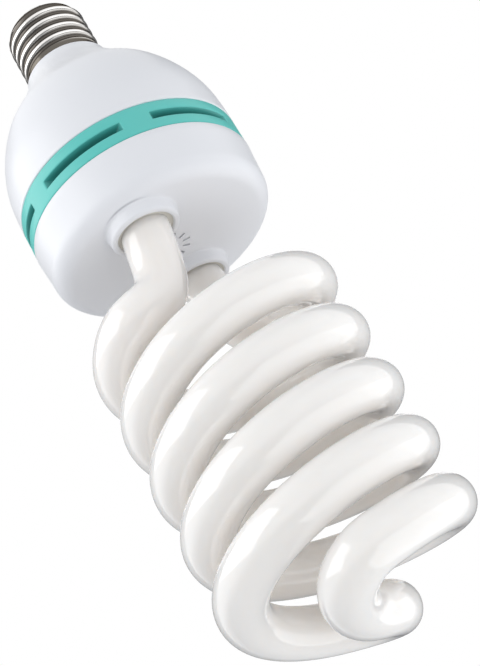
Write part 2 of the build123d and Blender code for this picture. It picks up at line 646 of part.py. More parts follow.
resistor = leaded_part(RESISTOR_R, RESISTOR_LENGTH)
with BuildPart() as resistors:
    for angle in RESISTOR_ANGLES:
        with Locations(Location(polar(BOARD_R - RESISTOR_EDGE, angle, BOARD_Z), (0, 0, angle + 90))):
            add(resistor)
resistors.part.label = "resistors"
export_step(resistors.part, "parts/resistors.step")

with BuildPart() as fuse_resistor:
    with Locations((*on_board(FUSE_EDGE, FUSE_ANGLE), BOARD_Z)):
        add(leaded_part(FUSE_R, FUSE_LENGTH))
fuse_resistor.part.label = "fuse_resistor"
export_step(fuse_resistor.part, "parts/fuse_resistor.step")

# Thermistor: a disc that stands on two wires
thermistor_x, thermistor_y = on_board(THERMISTOR_EDGE, THERMISTOR_ANGLE)
with BuildPart() as thermistor:
    with BuildSketch(Plane.XZ.offset(-thermistor_y)):
        with Locations((thermistor_x, BOARD_Z - THERMISTOR_R - WIRE_REACH)):
            Circle(THERMISTOR_R)
    extrude(amount=THERMISTOR_T / 2, both=True)
    with BuildSketch(Plane.XY.offset(BOARD_Z)):
        with Locations((thermistor_x, thermistor_y)):
            with GridLocations(THERMISTOR_R, 1, 2, 1):
                Circle(WIRE_R)
    extrude(amount=-WIRE_REACH - THERMISTOR_R / 2)
thermistor.part.label = "thermistor"
export_step(thermistor.part, "parts/thermistor.step")

# Live lead: from the board down the bell, along the axis and through the insulator to the contact
live_neck_z = BOARD_Z - LIVE_DROP - 2 * abs(LIVE_AT[0])
with BuildPart() as live_lead:
    with BuildLine():
        live_path = FilletPolyline(
            (*LIVE_AT, BOARD_Z),
            (*LIVE_AT, BOARD_Z - LIVE_DROP),
            (0, 0, live_neck_z),
            (0, 0, CONTACT_T),
            radius=LEAD_BEND_R,
        )
    with BuildSketch(Plane(live_path @ 0, z_dir=live_path % 0)):
        Circle(LEAD_R)
    sweep()
live_lead.part.label = "live_lead"
export_step(live_lead.part, "parts/live_lead.step")

# Neutral lead: from the board down the spigot, and out past its end to the screw shell's wall
neutral_end_z = NECK_Z - SPIGOT_LENGTH - 2 * LEAD_R
with BuildPart() as neutral_lead:
    with BuildLine():
        neutral_path = FilletPolyline(
            (*NEUTRAL_AT, BOARD_Z),
            (*NEUTRAL_AT, BOARD_Z - NEUTRAL_DROP),
            (0, NEUTRAL_NECK_Y, NECK_Z + SPIGOT_WALL),
            (0, NEUTRAL_NECK_Y, neutral_end_z),
            (0, SHELL_BORE_R - SHELL_T, neutral_end_z),
            radius=(LEAD_BEND_R, LEAD_BEND_R, 2 * LEAD_R),
        )
    with BuildSketch(Plane(neutral_path @ 0, z_dir=neutral_path % 0)):
        Circle(LEAD_R)
    sweep()
neutral_lead.part.label = "neutral_lead"
export_step(neutral_lead.part, "parts/neutral_lead.step")
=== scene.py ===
import json

import bmesh
import bpy
import numpy as np
from math import ceil, cos, degrees, pi, radians, sin, sqrt, tan
from mathutils import Euler, Matrix, Vector, geometry


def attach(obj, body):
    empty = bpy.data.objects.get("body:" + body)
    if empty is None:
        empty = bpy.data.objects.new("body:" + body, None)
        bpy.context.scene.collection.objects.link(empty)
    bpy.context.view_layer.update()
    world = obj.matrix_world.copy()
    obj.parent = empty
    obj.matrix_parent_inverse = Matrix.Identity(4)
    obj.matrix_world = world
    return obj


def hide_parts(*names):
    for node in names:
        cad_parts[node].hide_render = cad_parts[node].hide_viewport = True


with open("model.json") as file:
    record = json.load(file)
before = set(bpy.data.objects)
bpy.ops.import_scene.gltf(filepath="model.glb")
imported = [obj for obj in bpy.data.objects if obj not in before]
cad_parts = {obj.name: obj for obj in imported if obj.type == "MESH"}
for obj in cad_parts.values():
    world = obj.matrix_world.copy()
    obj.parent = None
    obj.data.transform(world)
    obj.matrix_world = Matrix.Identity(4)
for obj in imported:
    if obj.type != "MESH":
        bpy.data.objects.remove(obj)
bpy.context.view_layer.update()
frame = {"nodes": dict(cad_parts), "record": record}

# Lengths are millimetres and angles degrees; MM turns them into Blender's metres.
MM = 0.001

# Cap
CONTACT_R, CONTACT_T = 4.8, 1.0
SOLDER_FLAT_R, SOLDER_DOME_R, SOLDER_DOME_HEIGHT = 3.4, 1.4, 0.75
WIRE_HOLE_R, TIP_ROUND = 1.1, 0.5
INSULATOR_TIP_R, INSULATOR_CONE, INSULATOR_FLANGE = 6.4, 4.8, 2.6
SHELL_T, SHELL_FOOT_R, SHELL_LENGTH = 0.35, 10.8, 20.7
THREAD_PITCH, THREAD_CREST_R, THREAD_DEPTH = 3.629, 13.1, 1.05
SKIRT_R, SKIRT_HEIGHT, THREAD_FADE, FOOT_ROUND, FOOT_SHIFT = 12.55, 3.1, 0.9, 1.25, 0.7

# Upper housing: radius, height above the neck
NECK_R, BELL_R, BELL_HEIGHT, WALL, FIT = 14.05, 36.0, 48.5, 1.8, 0.3
BELL_POINTS = [(19.5, 9.5), (28.9, 20.5), (34.9, 34.5)]
BELL_SLOPES = (0.25, 1), (0.03, 1)
SPIGOT_LENGTH, SPIGOT_WALL = 12.5, 1.6
EDGE = 0.45

# Vent ring
RING_HEIGHT, RING_STEP, RING_WALL = 9.7, 0.1, 2.8
SLOT_COUNT, SLOT_SPAN, SLOT_HEIGHT, SLOT_MIDDLE_ANGLE = 6, 46.0, 2.6, 43.0
SLOT_SLANT, SLOT_RAMP, SLOT_FLARE, SLOT_CORNER = 20.0, 2.0, 0.25, 0.25
SKIRT_WALL, BELL_SKIRT, CUP_SKIRT = 1.5, 3.5, 1.75

# Lower housing
CUP_R, CUP_DRAFT, CUP_HEIGHT, CUP_ROUND = 36.0, 0.9, 16.3, 5.5
COLLAR_OFFSET, COLLAR_ANGLE = 20.0, 278.4
COLLAR_R, COLLAR_LIP_R, COLLAR_BORE_R, COLLAR_HEIGHT = 10.9, 10.5, 8.6, 3.8
COLLAR_LIP, COLLAR_BLEND, MOUTH_ROUND = 0.9, 0.8, 0.6
SLEEVE_R, SLEEVE_DEPTH = 10.2, 5.0
SLIT_COUNT, SLIT_ANGLE, SLIT_INNER_R, SLIT_OUTER_R, SLIT_WIDTH = 12, 28.0, 4.6, 7.2, 0.9

# Discharge tube
TUBE_R, LEG_LEAN, LEG_OUT, LEG_IN, LEG_BEND = 7.4, 8.0, 10.7, 11.0, 20.0
COIL_R, COIL_LEAD, COIL_SWEEP = 30.3, 37.3, 821.5
COIL_START_ANGLE, COIL_START, COIL_ENTRY = 330.0, 30.7, 22.0
LEG_END_ROUND, GLASS_INSET = 2.0, 0.01
BRIDGE_RISE, BRIDGE_HEADING, BRIDGE_EXIT, BRIDGE_REACH = 7.4, 307.3, 14.0, 15.0

# Heights and radii worked out from the sizes
FOOT_Z = CONTACT_T + INSULATOR_CONE
NECK_Z = FOOT_Z + SHELL_LENGTH
RING_Z = NECK_Z + BELL_HEIGHT
CUP_Z = RING_Z + RING_HEIGHT
FACE_Z = CUP_Z + CUP_HEIGHT
PLATE_Z = FACE_Z - WALL
MOUTH_Z = FACE_Z + COLLAR_HEIGHT
SKIRT_Z = NECK_Z - SKIRT_HEIGHT
THREAD_ROOT_R = THREAD_CREST_R - THREAD_DEPTH
SHELL_BORE_R = THREAD_ROOT_R - SHELL_T
RING_R = BELL_R - RING_STEP

# Mesh steps, round a piece or along it, and the distances under which points and edges merge
WELD, SLIVER = 0.002, 0.0005
LATHE_STEPS, COLLAR_STEPS, INSULATOR_STEPS, CONTACT_STEPS = 288, 96, 144, 96
SHELL_STEPS, SHELL_ROWS = 240, 150
SLOT_STEPS, SLIT_STEPS, RING_LEVELS = 40, 3, 7
TUBE_STEPS, LEG_STEPS, BEND_STEPS, HELIX_STEPS, BRIDGE_STEPS = 48, 14, 44, 420, 56

# Finishes: how far roughness wanders, in patches of what size, and how far each colour travels in the glass
WANDER, PATCHES_PER_MM = 0.15, 0.06
GLASS_TRAVEL = (1.0, 0.95, 0.9)

# Camera, in the part's frame
CAMERA_AT = (-5.59, -346.39, 306.95)
CAMERA_TURN = (-60.358, -26.862, 165.58)
CAMERA_LENS = 73.634

# Studio. A softbox has a turn to the camera's right, a rise above it, a distance, a width, a height
# and a radiance.
LAMP_MIDDLE = (0, 0, 120)
SOFTBOXES = {
    "left_softbox": (-88, 2, 420, 620, 420, 1.5),
    "right_softbox": (70, -14, 500, 1192, 560, 0.85),
    "top_softbox": (60, 68, 500, 700, 420, 0.28),
}
ROOM_COLOUR, ROOM_STRENGTH = (0.94, 0.96, 1.0), 0.72
FLOOR_Z, FLOOR_REACH, FLOOR_SHADE = -250, 4000, 0.8
FLAG_FROM, FLAG_TO, FLAG_DISTANCE, FLAG_SHADE = 122, 158, 440, 0.16
FLAG_ROWS, FLAG_STEPS = 5, 48
CEILING_IN_MIRRORS, CEILING_STARTS, CEILING_FULL = 0.25, 0.05, 0.4


# Mesh helpers

def polar(radius, angle, height=0.0):
    """A point at a radius and an angle about the lamp's axis."""
    return np.array([radius * cos(radians(angle)), radius * sin(radians(angle)), height])


def arc(centre, radius, angles):
    """Profile points round a centre, at angles from outwards towards upwards."""
    return [(centre[0] + radius * cos(radians(a)), centre[1] + radius * sin(radians(a))) for a in angles]


def turned(point, angle):
    """A point turned about the lamp's axis."""
    x, y, *height = point
    c, s = cos(radians(angle)), sin(radians(angle))
    return (x * c - y * s, x * s + y * c, *height)


def piece(name, parts, *nodes, sharp=32):
    """One smooth mesh from several (points, faces) parts, which stands for the CAD nodes."""
    mesh = bpy.data.meshes.new(name)
    points, faces = [], []
    for part_points, part_faces in parts:
        shift = len(points)
        points.extend(Vector(p) * MM for p in part_points)
        faces.extend([i + shift for i in face] for face in part_faces)
    mesh.from_pydata(points, [], faces)
    work = bmesh.new()
    work.from_mesh(mesh)
    bmesh.ops.remove_doubles(work, verts=work.verts, dist=WELD * MM)
    bmesh.ops.dissolve_degenerate(work, edges=work.edges, dist=SLIVER * MM)
    bmesh.ops.recalc_face_normals(work, faces=work.faces)
    work.to_mesh(mesh)
    work.free()
    mesh.shade_smooth()
    mesh.set_sharp_from_angle(angle=radians(sharp))
    thing = bpy.data.objects.new(name, mesh)
    bpy.context.scene.collection.objects.link(thing)
    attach(thing, "root")
    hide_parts(*nodes)
    return thing


def rounded(corners):
    """Profile points from (radius, height, rounding) corners, with an arc at each rounding."""
    points = []
    count = len(corners)
    for i, (x, y, rounding) in enumerate(corners):
        here = np.array([x, y])
        if not rounding:
            points.append((x, y))
            continue
        before = np.array(corners[i - 1][:2]) - here
        after = np.array(corners[(i + 1) % count][:2]) - here
        before, after = before / np.linalg.norm(before), after / np.linalg.norm(after)
        half = np.arccos(np.clip(before @ after, -1, 1)) / 2
        reach = rounding / tan(half)
        middle = here + (before + after) / np.linalg.norm(before + after) * rounding / sin(half)
        first, last = here + before * reach - middle, here + after * reach - middle
        turn = np.arccos(np.clip(first @ last / rounding ** 2, -1, 1))
        steps = max(3, ceil(degrees(turn) / 12))
        for k in range(steps + 1):
            share = k / steps
            spot = (sin((1 - share) * turn) * first + sin(share * turn) * last) / sin(turn)
            points.append(tuple(middle + spot))
    return points


def lathe(profile, steps=LATHE_STEPS, centre=(0, 0), loop=True):
    """A profile of (radius, height) turned about a vertical axis."""
    count = len(profile)
    points = []
    for k in range(steps):
        c, s = cos(2 * pi * k / steps), sin(2 * pi * k / steps)
        points += [(centre[0] + r * c, centre[1] + r * s, z) for r, z in profile]
    faces = []
    for k in range(steps):
        a, b = k * count, (k + 1) % steps * count
        for i in range(count if loop else count - 1):
            j = (i + 1) % count
            faces.append((a + i, b + i, b + j, a + j))
    return points, faces


def circle(radius, steps, centre=(0, 0)):
    """Points on a circle, in the same places as a lathe's."""
    angles = [2 * pi * k / steps for k in range(steps)]
    return [(centre[0] + radius * cos(a), centre[1] + radius * sin(a)) for a in angles]


def inside(point, outline):
    """Whether a flat point is inside a closed outline."""
    x, y = point
    result = False
    for (x0, y0), (x1, y1) in zip(outline, outline[1:] + outline[:1]):
        if (y0 > y) != (y1 > y) and x < (x1 - x0) * (y - y0) / (y1 - y0) + x0:
            result = not result
    return result


def sheet(outline, holes, extra=()):
    """A flat triangle mesh inside an outline, open at its holes, through some extra points."""
    points, edges = [], []
    for loop in [outline, *holes]:
        shift = len(points)
        points += [Vector(p) for p in loop]
        edges += [(shift + i, shift + (i + 1) % len(loop)) for i in range(len(loop))]
    points += [Vector(p) for p in extra]
    flat, _, triangles, *_ = geometry.delaunay_2d_cdt(points, edges, [], 0, 1e-5)
    kept = []
    for triangle in triangles:
        middle = sum((flat[i] for i in triangle), Vector((0, 0))) / 3
        if inside(middle, outline) and not any(inside(middle, hole) for hole in holes):
            kept.append(tuple(triangle))
    return [tuple(p) for p in flat], kept


def band(loops):
    """Quads between a row of closed loops that have the same count of points."""
    count = len(loops[0])
    points = [p for loop in loops for p in loop]
    faces = []
    for row in range(len(loops) - 1):
        for i in range(count):
            j = (i + 1) % count
            faces.append((row * count + i, row * count + j, (row + 1) * count + j, (row + 1) * count + i))
    return points, faces


def bezier(a, b, c, d, steps):
    """Points on a cubic curve."""
    t = np.linspace(0, 1, steps)[:, None]
    return (1 - t) ** 3 * a + 3 * t * (1 - t) ** 2 * b + 3 * t * t * (1 - t) * c + t ** 3 * d


def unit(vector):
    """A vector of length one."""
    return vector / np.linalg.norm(vector)


# Cap

def thread_radius(height, angle):
    """Radius of the thread: equal arcs over crest and root, joined by their common tangent."""
    half = THREAD_PITCH / 2
    bow = (half ** 2 + THREAD_DEPTH ** 2) / (4 * THREAD_DEPTH)
    along = (height / THREAD_PITCH - angle / (2 * pi)) % 1
    from_crest = min(along, 1 - along) * THREAD_PITCH
    if from_crest <= half / 2:
        return THREAD_CREST_R - bow + sqrt(bow ** 2 - from_crest ** 2)
    return THREAD_ROOT_R + bow - sqrt(bow ** 2 - (half - from_crest) ** 2)


def smooth_step(value):
    """A soft step from 0 to 1."""
    value = min(max(value, 0), 1)
    return value * value * (3 - 2 * value)


def make_screw_shell():
    """Rolled sheet metal: a curled foot, the thread inside and out, and a plain skirt at the housing."""
    angles = np.linspace(0, 2 * pi, SHELL_STEPS, endpoint=False)
    bottom = FOOT_Z + FOOT_ROUND

    def outer(height, angle):
        """The shell's outside: plain at the foot, threaded, and plain again at the skirt."""
        lower = smooth_step((height - bottom) / THREAD_FADE)
        upper = smooth_step((SKIRT_Z - height) / THREAD_FADE + 0.5)
        value = THREAD_ROOT_R + (thread_radius(height, angle) - THREAD_ROOT_R) * lower
        return SKIRT_R + (value - SKIRT_R) * upper

    def ring(radii, z):
        """A closed loop at one height."""
        return [(r * cos(a), r * sin(a), z) for r, a in zip(radii, angles)]

    foot = [(SHELL_FOOT_R, FOOT_Z)] + arc((THREAD_ROOT_R - FOOT_ROUND, bottom), FOOT_ROUND, range(-90, 0, 12))
    sides = []
    for offset in (0, SHELL_T):
        shift = offset * FOOT_SHIFT
        side = [ring([r - shift] * SHELL_STEPS, z + shift) for r, z in foot]
        for z in np.linspace(bottom, NECK_Z, SHELL_ROWS):
            side.append(ring([outer(z, a) - offset for a in angles], z))
        sides.append(side)
    walls = sides[0] + sides[1][::-1] + sides[0][:1]
    return piece("screw_shell_visual", [band(walls)], "screw_shell")


def make_cap_insulator():
    """A glass cone between the contact and the shell, with a flange inside the shell's foot."""
    profile = rounded([
        (WIRE_HOLE_R, CONTACT_T, 0),
        (INSULATOR_TIP_R, CONTACT_T, TIP_ROUND),
        (SHELL_FOOT_R, FOOT_Z, 0),
        (SHELL_FOOT_R, FOOT_Z + SHELL_T, 0),
        (SHELL_BORE_R, FOOT_Z + FOOT_ROUND, 0),
        (SHELL_BORE_R, FOOT_Z + INSULATOR_FLANGE, 0),
        (WIRE_HOLE_R, FOOT_Z + INSULATOR_FLANGE, 0),
    ])
    return piece("cap_insulator_visual", [lathe(profile, INSULATOR_STEPS)], "cap_insulator")


def make_centre_contact():
    """Solder that has set with a low dome at its rim, flat where it meets the holder."""
    nearly_zero = 0.001
    profile = [(nearly_zero, 0), (SOLDER_FLAT_R, 0)]
    profile += [(SOLDER_FLAT_R + SOLDER_DOME_R * x, SOLDER_DOME_HEIGHT * (1 + y))
                for x, y in arc((0, 0), 1, range(-75, 1, 15))]
    profile += [(CONTACT_R, CONTACT_T), (nearly_zero, CONTACT_T)]
    return piece("centre_contact_visual", [lathe(profile, CONTACT_STEPS)], "centre_contact")


# Housings

def spline(points, first, last, steps=16):
    """A smooth curve through points, as cubic spans with matched slopes."""
    points = [np.array(p, float) for p in points]
    slopes = [np.array(first, float)]
    for before, here, after in zip(points, points[1:], points[2:]):
        a, b = np.linalg.norm(here - before), np.linalg.norm(after - here)
        slopes.append(unit((here - before) / a * b + (after - here) / b * a))
    slopes = [unit(s) for s in [*slopes, np.array(last, float)]]
    curve = [points[0]]
    for a, b, slope_a, slope_b in zip(points, points[1:], slopes, slopes[1:]):
        reach = np.linalg.norm(b - a) / 3
        curve += list(bezier(a, a + slope_a * reach, b - slope_b * reach, b, steps)[1:])
    return np.array(curve)


def make_upper_housing():
    """A bell turned from a smooth profile, hollow, with a spigot that fits in the cap's shell."""
    points = [(NECK_R, NECK_Z + EDGE)] + [(r, NECK_Z + h) for r, h in BELL_POINTS] + [(BELL_R, RING_Z - EDGE)]
    outer = spline(points, *BELL_SLOPES)
    along = np.gradient(outer, axis=0)
    along /= np.linalg.norm(along, axis=1)[:, None]
    inner = outer + np.c_[-along[:, 1], along[:, 0]] * WALL
    bore = SHELL_BORE_R - FIT - SPIGOT_WALL
    neck_trim, mouth_trim = 6, 2        # points that the inner curve loses at its ends
    profile = [(SHELL_BORE_R - FIT, NECK_Z - SPIGOT_LENGTH), (SHELL_BORE_R - FIT, NECK_Z)]
    profile += arc((NECK_R - EDGE, NECK_Z + EDGE), EDGE, (-90, -60, -30))
    profile += [tuple(p) for p in outer]
    profile += arc((BELL_R - EDGE, RING_Z - EDGE), EDGE, (30, 60, 90))
    profile += [(BELL_R - WALL, RING_Z)] + [tuple(p) for p in inner[neck_trim:-mouth_trim][::-1]]
    profile += [(bore, inner[neck_trim][1]), (bore, NECK_Z - SPIGOT_LENGTH)]
    return piece("upper_housing_visual", [lathe(profile)], "upper_housing")


def rounded_rectangle(width, height, corner, middle, steps):
    """A rectangle's outline with round corners and points along its long sides."""
    outline = []
    for sx, sy, start in ((1, 1, 0), (-1, 1, 90), (-1, -1, 180), (1, -1, 270)):
        cx, cy = sx * (width / 2 - corner), sy * (height / 2 - corner)
        outline += arc((cx, cy), corner, range(start, start + 91, 18))
        if sx == sy:
            outline += [(cx - 2 * cx * k / steps, sy * height / 2) for k in range(1, steps)]
    return [(middle[0] + x, middle[1] + y) for x, y in outline]


def make_vent_ring():
    """A band with slanted slots right through its wall, ramped at both ends, and a skirt each way."""
    inner_r = RING_R - RING_WALL
    per_degree = RING_R * pi / 180
    low, high = RING_Z + EDGE, CUP_Z - EDGE
    sector = 360 / SLOT_COUNT
    columns = LATHE_STEPS // SLOT_COUNT
    middle_z = (RING_Z + CUP_Z) / 2
    clear = 0.4        # room between a slot's edge and the next points of the mesh

    def wrap(flat, radius, first):
        """Points of angle and height laid on a cylinder."""
        return [polar(radius, first + x, y) for x, y in flat]

    def slot(depth, flare):
        """A slot's outline, as angle and height, at a depth below the band's face."""
        ramp = degrees(SLOT_RAMP * depth / RING_WALL / (RING_R - depth))
        width = (SLOT_SPAN - 2 * ramp) * per_degree + 2 * flare
        height = SLOT_HEIGHT / cos(radians(SLOT_SLANT)) + 2 * flare
        outline = rounded_rectangle(width, height, SLOT_CORNER + flare, (0, 0), SLOT_STEPS)
        slot_z = middle_z + depth * tan(radians(SLOT_SLANT))
        return [(sector / 2 + x / per_degree, slot_z + y) for x, y in outline]

    flares = arc((SLOT_FLARE, SLOT_FLARE), SLOT_FLARE, (180, 210, 240, 270))
    rims = [(RING_R - depth, slot(depth, flare)) for depth, flare in flares]
    rims += [(RING_R - RING_WALL * share, slot(RING_WALL * share, 0)) for share in (0.3, 0.55, 0.8, 1)]
    inner_low, inner_high = RING_Z + SKIRT_WALL, CUP_Z - SKIRT_WALL
    parts = []
    for index in range(SLOT_COUNT):
        first = SLOT_MIDDLE_ANGLE - sector / 2 + index * sector
        for (radius, hole), margin, bottom, top in (
            (rims[0], slot(0, SLOT_FLARE + clear), low, high),
            (rims[-1], slot(RING_WALL, clear), inner_low, inner_high),
        ):
            levels = np.linspace(bottom, top, RING_LEVELS)
            across = [sector * k / columns for k in range(columns + 1)]
            edge = [(x, bottom) for x in across]
            edge += [(sector, z) for z in levels[1:-1]]
            edge += [(x, top) for x in across[::-1]]
            edge += [(0, z) for z in levels[-2:0:-1]]
            extra = [(x, z) for x in across[1:-1] for z in levels[1:-1] if not inside((x, z), margin)]
            flat, triangles = sheet(edge, [hole], extra)
            parts.append((wrap(flat, radius, first), triangles))
        parts.append(band([wrap(outline, radius, first) for radius, outline in rims]))
    bell_r, cup_r = BELL_R - WALL - FIT, CUP_R - WALL - FIT
    upper = [(RING_R, low)] + arc((RING_R - EDGE, low), EDGE, (-30, -60, -90))
    upper += [(bell_r, RING_Z), (bell_r, RING_Z - BELL_SKIRT), (bell_r - SKIRT_WALL, RING_Z - BELL_SKIRT)]
    upper += [(bell_r - SKIRT_WALL, inner_low), (inner_r, inner_low)]
    lower = [(RING_R, high)] + arc((RING_R - EDGE, high), EDGE, (30, 60, 90))
    lower += [(cup_r, CUP_Z), (cup_r, CUP_Z + CUP_SKIRT), (cup_r - SKIRT_WALL, CUP_Z + CUP_SKIRT)]
    lower += [(cup_r - SKIRT_WALL, inner_high), (inner_r, inner_high)]
    for profile in (upper, lower):
        points, faces = lathe(profile, loop=False)
        parts.append(([turned(point, SLOT_MIDDLE_ANGLE - sector / 2) for point in points], faces))
    return piece("vent_ring_visual", parts, "vent_ring")


def make_lower_housing():
    """A cup with a soft shoulder, two collars with rolled lips, and a burst of slits in its face."""
    shoulder_r = CUP_R - CUP_DRAFT
    face_r = shoulder_r - CUP_ROUND
    centres = [polar(COLLAR_OFFSET, COLLAR_ANGLE)[:2], polar(COLLAR_OFFSET, COLLAR_ANGLE + 180)[:2]]
    round_end = SLIT_WIDTH / 2 - 0.01
    middle = ((SLIT_OUTER_R + SLIT_INNER_R) / 2, 0)
    slit = rounded_rectangle(SLIT_OUTER_R - SLIT_INNER_R, SLIT_WIDTH, round_end, middle, SLIT_STEPS)
    slits = [[turned(point, SLIT_ANGLE + 360 * k / SLIT_COUNT) for point in slit] for k in range(SLIT_COUNT)]
    parts = []
    for z, hole_r in ((FACE_Z, COLLAR_R + COLLAR_BLEND), (PLATE_Z, SLEEVE_R)):
        collars = [circle(hole_r, COLLAR_STEPS, c) for c in centres]
        flat, triangles = sheet(circle(face_r, LATHE_STEPS), collars + slits)
        parts.append(([(x, y, z) for x, y in flat], triangles))
    for slit in slits:
        parts.append(band([[(x, y, FACE_Z) for x, y in slit], [(x, y, PLATE_Z) for x, y in slit]]))
    rim = arc((face_r, FACE_Z - CUP_ROUND), CUP_ROUND, range(90, -1, -6))
    side_height = CUP_HEIGHT - CUP_ROUND
    rim += [(CUP_R - CUP_DRAFT * share, CUP_Z + side_height * share) for share in (0.75, 0.5, 0.25)]
    rim += [(CUP_R, CUP_Z + EDGE), (CUP_R - 0.3 * EDGE, CUP_Z + 0.3 * EDGE), (CUP_R - EDGE, CUP_Z)]
    rim += [(CUP_R - WALL, CUP_Z)]
    rim += arc((face_r, PLATE_Z - CUP_ROUND + WALL), CUP_ROUND - WALL, range(0, 91, 10))
    parts.append(lathe(rim, loop=False))
    collar = arc((COLLAR_R + COLLAR_BLEND, FACE_Z + COLLAR_BLEND), COLLAR_BLEND, range(270, 179, -15))
    collar += arc((COLLAR_LIP_R - COLLAR_LIP, MOUTH_Z - COLLAR_LIP), COLLAR_LIP, range(0, 91, 15))
    collar += arc((COLLAR_BORE_R + MOUTH_ROUND, MOUTH_Z - MOUTH_ROUND), MOUTH_ROUND, range(90, 181, 15))
    sleeve_end = PLATE_Z - SLEEVE_DEPTH
    collar += [(COLLAR_BORE_R, sleeve_end), (SLEEVE_R, sleeve_end), (SLEEVE_R, PLATE_Z)]
    for centre in centres:
        parts.append(lathe(collar, COLLAR_STEPS, centre, loop=False))
    return piece("lower_housing_visual", parts, "lower_housing")


# Discharge tube

def tube_half():
    """Centre line of one half: leg, bend, helix and half of the bridge."""
    lean = polar(1, COLLAR_ANGLE + 90) * tan(radians(LEG_LEAN))
    leg_axis = unit(np.array([0, 0, 1]) + lean)
    middle = polar(COLLAR_OFFSET, COLLAR_ANGLE, (FACE_Z + MOUTH_Z) / 2)
    leg_end, leg_bend = middle - leg_axis * LEG_IN, middle + leg_axis * LEG_OUT

    def coil(sweep):
        """A point of the helix."""
        return polar(COIL_R, COIL_START_ANGLE + sweep, FACE_Z + COIL_START + COIL_LEAD * sweep / 360)

    def heading(sweep):
        """The helix's direction there."""
        return unit(polar(COIL_R, COIL_START_ANGLE + sweep + 90, COIL_LEAD / (2 * pi)))

    start, end = coil(0), coil(COIL_SWEEP)
    bridge = np.array([0, 0, end[2] + BRIDGE_RISE])
    bridge_axis = polar(1, BRIDGE_HEADING)
    leg = np.linspace(leg_end, leg_bend, LEG_STEPS)
    leave, arrive = leg_bend + leg_axis * LEG_BEND, start - heading(0) * COIL_ENTRY
    bend = bezier(leg_bend, leave, arrive, start, BEND_STEPS)
    helix = np.array([coil(sweep) for sweep in np.linspace(0, COIL_SWEEP, HELIX_STEPS)])
    leave, arrive = end + heading(COIL_SWEEP) * BRIDGE_EXIT, bridge - bridge_axis * BRIDGE_REACH
    over = bezier(end, leave, arrive, bridge, BRIDGE_STEPS)
    return np.vstack([leg, bend[1:], helix[1:], over[1:]])


def make_discharge_tube():
    """One glass tube from leg to leg, with a rounded flat end on each leg."""
    half = tube_half()
    line = np.vstack([half, (half * (-1, -1, 1))[-2::-1]])
    radius = TUBE_R - GLASS_INSET
    along = np.gradient(line, axis=0)
    along /= np.linalg.norm(along, axis=1)[:, None]
    angles = np.linspace(0, 2 * pi, TUBE_STEPS, endpoint=False)
    side = unit(np.cross(along[0], (1, 0, 0)))
    loops = []
    for centre, axis in zip(line, along):
        side = unit(side - axis * (side @ axis))
        other = np.cross(axis, side)
        loops.append([centre + radius * (cos(a) * side + sin(a) * other) for a in angles])
    for end, inward in ((0, 1), (-1, -1)):
        centre, axis = line[end], along[end] * inward
        rim = [point - centre for point in loops[end]]
        round_loops = []
        for inset, depth in arc((LEG_END_ROUND, LEG_END_ROUND), LEG_END_ROUND, range(270, 180, -15)):
            round_loops.append([centre + axis * depth + arm * (1 - inset / radius) for arm in rim])
        loops = round_loops + loops[2:] if end == 0 else loops[:-2] + round_loops[::-1]
    points, faces = band(loops)
    faces.append(tuple(range(TUBE_STEPS))[::-1])
    faces.append(tuple(range(len(points) - TUBE_STEPS, len(points))))
    return piece("discharge_tube_visual", [(points, faces)], "discharge_tube", sharp=60)


# Materials

def fill(node, values):
    """Sets the inputs of a shader node."""
    for name, value in values.items():
        node.inputs[name].default_value = value


def material(name, colour, roughness, metallic=0.0, coat=0.0, coat_roughness=0.05, coat_ior=1.5,
             grain=0.0, grain_size=0.4, depth=0.0, edge=(1, 1, 1)):
    """A finish whose roughness wanders a little, with a fine moulded or rolled grain where asked."""
    finish = bpy.data.materials.new(name)
    finish.use_nodes = True
    nodes, links = finish.node_tree.nodes, finish.node_tree.links
    shader = nodes["Principled BSDF"]
    fill(shader, {
        "Base Color": (*colour, 1),
        "Metallic": metallic,
        "Specular Tint": (*edge, 1),
        "Coat Weight": coat,
        "Coat Roughness": coat_roughness,
        "Coat IOR": coat_ior,
    })
    if depth:
        fill(shader, {
            "Subsurface Weight": 1.0,
            "Subsurface Radius": GLASS_TRAVEL,
            "Subsurface Scale": depth * MM,
            "Specular IOR Level": 0.0,
        })
    place = nodes.new("ShaderNodeTexCoord")
    patches = nodes.new("ShaderNodeTexNoise")
    fill(patches, {"Scale": PATCHES_PER_MM / MM})
    links.new(place.outputs["Object"], patches.inputs["Vector"])
    wander = nodes.new("ShaderNodeMapRange")
    fill(wander, {"To Min": roughness * (1 - WANDER), "To Max": roughness * (1 + WANDER)})
    links.new(patches.outputs[0], wander.inputs["Value"])
    links.new(wander.outputs["Result"], shader.inputs["Roughness"])
    if grain:
        texture = nodes.new("ShaderNodeTexNoise")
        fill(texture, {"Scale": 1 / (grain_size * MM), "Detail": 2})
        links.new(place.outputs["Object"], texture.inputs["Vector"])
        bump = nodes.new("ShaderNodeBump")
        fill(bump, {"Strength": 1, "Distance": grain * MM})
        links.new(texture.outputs[0], bump.inputs["Height"])
        links.new(bump.outputs["Normal"], shader.inputs["Normal"])
    return finish


